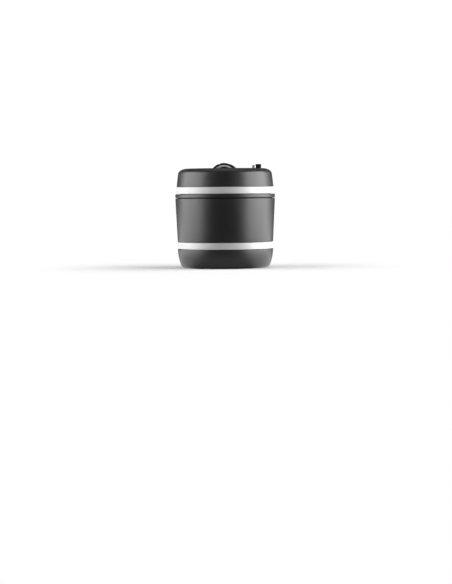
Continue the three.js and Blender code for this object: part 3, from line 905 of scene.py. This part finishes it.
def seal():
    """The soft disc that presses on the bottle's mouth, and the stiff plate and stem behind it."""
    bottom, top = low("seal_disc").z, high("seal_disc").z
    face, face_root, ledge, rim, step = 7.6, 8.4, 10.6, 11.2, 0.5
    outline = rounded([(0, bottom, 0), (face, bottom, 0.5), (face_root, bottom + step, 0.3),
                       (ledge, bottom + step, 0.4), (rim, bottom + 2 * step, 0.3), (rim, top, 0.3),
                       (0, top, 0)])
    dress(lathe("seal_disc_fine", outline, TURNED_STEPS), "silicone", "seal", "seal_disc")
    bottom, top = low("pressure_plate").z, high("pressure_plate").z
    plate, stem, plate_top = 13.3, 2.0, bottom + 1.2
    outline = rounded([(0, bottom, 0), (plate, bottom, 0.2), (plate, plate_top, 0.3), (stem, plate_top, 0.4),
                       (stem, top, 0.5), (0, top, 0)])
    dress(lathe("pressure_plate_fine", outline, TURNED_STEPS), "inner_black", "seal", "pressure_plate")


def shaft_and_clips():
    front, rear, shaft = low("wheel_shaft").y, high("wheel_shaft").y, 1.25
    outline = rounded([(0, front, 0), (shaft, front, 0.25), (shaft, rear, 0.25), (0, rear, 0)])
    dress(turned_part("wheel_shaft_fine", outline, 0, POST_STEPS), "steel", "head", "wheel_shaft")
    inner, outer = 1.4, 2.3
    mouth_half, mouth_low, mouth_high = 0.9, WHEEL_AXIS_Z + 0.4, WHEEL_AXIS_Z + 4
    for node in ("shaft_clip_front", "shaft_clip_rear"):
        front, rear = low(node).y, high(node).y
        outline = rounded([(inner, front, 0.1), (outer, front, 0.1), (outer, rear, 0.1), (inner, rear, 0.1)])
        piece = turned_part(node + "_fine", outline, 0, POST_STEPS)
        mouth = prism("mouth", rectangle(0, (front + rear) / 2, mouth_half, 1), mouth_low, mouth_high)
        dress(boolean(piece, [mouth]), "spring_steel", "head", node)


# ---------- stage ----------
# The camera, in mm and degrees, about the foot of the lock's axis.
EYE_ACROSS, EYE_DISTANCE, EYE_HEIGHT = 0.07, 850.0, 37.0
TILT, ROLL, ORBIT = 3.31, -0.45, 3.1
PICTURE_HEIGHT = 281.7  # of the plane through the axis, along the picture's long side

# The light. The room's strength is what bounces, not what the camera sees.
ROOM, BACKGROUND = 0.16, 1.05
TARGET = (0, 0, 0.025)
SOFTBOXES = {  # place in metres, size, watts
    "left_softbox": ((-0.60, -0.07, 0.16), (0.80, 0.72), 7.5),
    "right_softbox": ((0.60, -0.03, 0.16), (0.84, 0.72), 10.2),
    "top_softbox": ((0.0, 0.20, 0.75), (0.5, 0.5), 0.45),
}

# The floor. Each ramp is two distances from the axis in metres, then the values at them.
FLOOR_RADIUS, FLOOR_DROP, FLOOR_STEPS = 4.0, 0.0002, 96
FLOOR_COLOR = (0.90, 0.90, 0.90)
BOUNCE_NEAR, BOUNCE_FAR = (0.50, 0.50, 0.50), (0.12, 0.12, 0.12)
BOUNCE_RAMP = (0.028, 0.055, 0, 1)
WHITE_RAMP = (0.028, 0.10, 0, 1)
GLOW_RISE = (0.022, 0.12, 0.30, 1)
GLOW_FALL = (0.30, 0.60, 1, 0)
GLOW_SPREAD = (0.58, 0.92, 0, 1)  # by the sine of the angle from the front
GLOW_SIDES = (-0.01, 0.01, 2.9, 3.7)  # from left to right


def camera():
    """Level with the upper band, tipped down a little, from about 0.85 m."""
    data = bpy.data.cameras.new("camera")
    data.sensor_width = 36.0
    data.lens = data.sensor_width * EYE_DISTANCE / PICTURE_HEIGHT
    data.clip_start, data.clip_end = 0.01, 50
    viewer = bpy.data.objects.new("camera", data)
    around = Matrix.Rotation(math.radians(ORBIT), 4, "Z")
    viewer.location = around @ (Vector((EYE_ACROSS, -EYE_DISTANCE, EYE_HEIGHT)) * MM)
    turn = Matrix.Rotation(math.radians(90 - TILT), 4, "X") @ Matrix.Rotation(math.radians(ROLL), 4, "Z")
    viewer.rotation_euler = (around @ turn).to_euler()
    bpy.context.scene.collection.objects.link(viewer)
    bpy.context.scene.camera = viewer


def softbox(name, place, size, watts):
    """A rectangular area light at a place in metres, facing the lock."""
    data = bpy.data.lights.new(name, "AREA")
    data.shape = "RECTANGLE"
    data.size, data.size_y = size
    data.energy = watts
    light = bpy.data.objects.new(name, data)
    light.location = place
    light.rotation_euler = (Vector(TARGET) - Vector(place)).to_track_quat("-Z", "Y").to_euler()
    light.visible_camera = False
    bpy.context.scene.collection.objects.link(light)


class StageGraph(Graph):
    """The node tree of the world or of the floor, cleared first."""

    def __init__(self, owner):
        super().__init__(owner)
        self.tree.nodes.clear()

    def seen(self):
        """One for the camera's rays and zero for the others."""
        return self.node("ShaderNodeLightPath").outputs["Is Camera Ray"]

    def shader(self, kind, **values):
        node = self.node(kind)
        for key, value in values.items():
            node.inputs[key].default_value = value
        return node

    def joined(self, kind, first, second, factor=None):
        """Two shaders mixed by a factor, or added."""
        node = self.node(kind)
        if factor:
            self.link(factor, node.inputs[0])
        for socket, shader in zip(list(node.inputs)[-2:], (first, second)):
            self.link(shader, socket)
        return node.outputs[0]

    def ramp(self, value, *limits):
        return self.map_range(value, *limits, curve="SMOOTHSTEP")


def world():
    """White behind the object, and a dim even room for the light that bounces."""
    room = bpy.data.worlds.new("studio")
    graph = StageGraph(room)
    dim, white = (graph.shader("ShaderNodeBackground", Color=(1, 1, 1, 1), Strength=strength).outputs[0]
                  for strength in (ROOM, BACKGROUND))
    output = graph.node("ShaderNodeOutputWorld")
    graph.link(graph.joined("ShaderNodeMixShader", dim, white, graph.seen()), output.inputs["Surface"])
    bpy.context.scene.world = room


def floor_material():
    """The camera sees a pale floor that fades into the white background.

    Other rays see it dark in front and behind, with a soft glow to each side, which stands for the lower
    halves of the softboxes.
    """
    material = bpy.data.materials.new("pale_floor")
    graph = StageGraph(material)
    place = graph.node("ShaderNodeTexCoord").outputs["Object"]
    reach = graph.node("ShaderNodeVectorMath", operation="LENGTH")
    graph.link(place, reach.inputs[0])
    distance = reach.outputs["Value"]
    split = graph.node("ShaderNodeSeparateXYZ")
    graph.link(place, split.inputs[0])
    x = split.outputs["X"]
    seen = graph.seen()

    matt = graph.shader("ShaderNodeBsdfDiffuse")
    bounce = graph.color_mix(graph.ramp(distance, *BOUNCE_RAMP), BOUNCE_NEAR, BOUNCE_FAR)
    graph.link(graph.color_mix(seen, bounce, FLOOR_COLOR), matt.inputs["Color"])
    white = graph.shader("ShaderNodeEmission")
    fade = graph.math_of("MULTIPLY", graph.ramp(distance, *WHITE_RAMP), seen)
    plain = graph.joined("ShaderNodeMixShader", matt.outputs[0], white.outputs[0], fade)

    sine = graph.math_of("DIVIDE", graph.math_of("ABSOLUTE", x), distance)
    strength = graph.ramp(x, *GLOW_SIDES)
    for share in (graph.ramp(sine, *GLOW_SPREAD), graph.ramp(distance, *GLOW_RISE),
                  graph.ramp(distance, *GLOW_FALL), graph.ramp(seen, 0, 1, 1, 0)):
        strength = graph.math_of("MULTIPLY", strength, share)
    glow = graph.shader("ShaderNodeEmission")
    graph.link(strength, glow.inputs["Strength"])
    output = graph.node("ShaderNodeOutputMaterial")
    graph.link(graph.joined("ShaderNodeAddShader", plain, glow.outputs[0]), output.inputs["Surface"])
    return material


def floor():
    """A plain round floor, a hair below the object."""
    bm = bmesh.new()
    bmesh.ops.create_circle(bm, cap_ends=True, segments=FLOOR_STEPS, radius=FLOOR_RADIUS)
    mesh = bpy.data.meshes.new("floor")
    bm.to_mesh(mesh)
    bm.free()
    mesh.materials.append(floor_material())
    ground = bpy.data.objects.new("floor", mesh)
    ground.location.z = -FLOOR_DROP
    bpy.context.scene.collection.objects.link(ground)


def stage():
    camera()
    world()
    floor()
    for name, (place, size, watts) in SOFTBOXES.items():
        softbox(name, place, size, watts)
    bpy.context.scene.view_settings.view_transform = "Standard"


stage()
base_ring()
trim_ring("lower_trim_ring", "body")
trim_ring("upper_trim_ring", "head")
body_shell()
head_base()
top_cover()
for dial in TRIO:
    number_wheel(dial)
    wheel_face(dial)
    code_sleeve(dial)
    digits(dial)
release_slider()
reset_pin()
coil("seal_spring", "head")
coil("reset_spring", "head")
for kind, body in (("base_screw", "body"), ("sleeve_screw", "head"), ("cover_screw", "head")):
    for number in TRIO:
        screw(f"{kind}_{number}", body)
screw("bolt_screw", "slider")
inner_pieces()
seal()
shaft_and_clips()
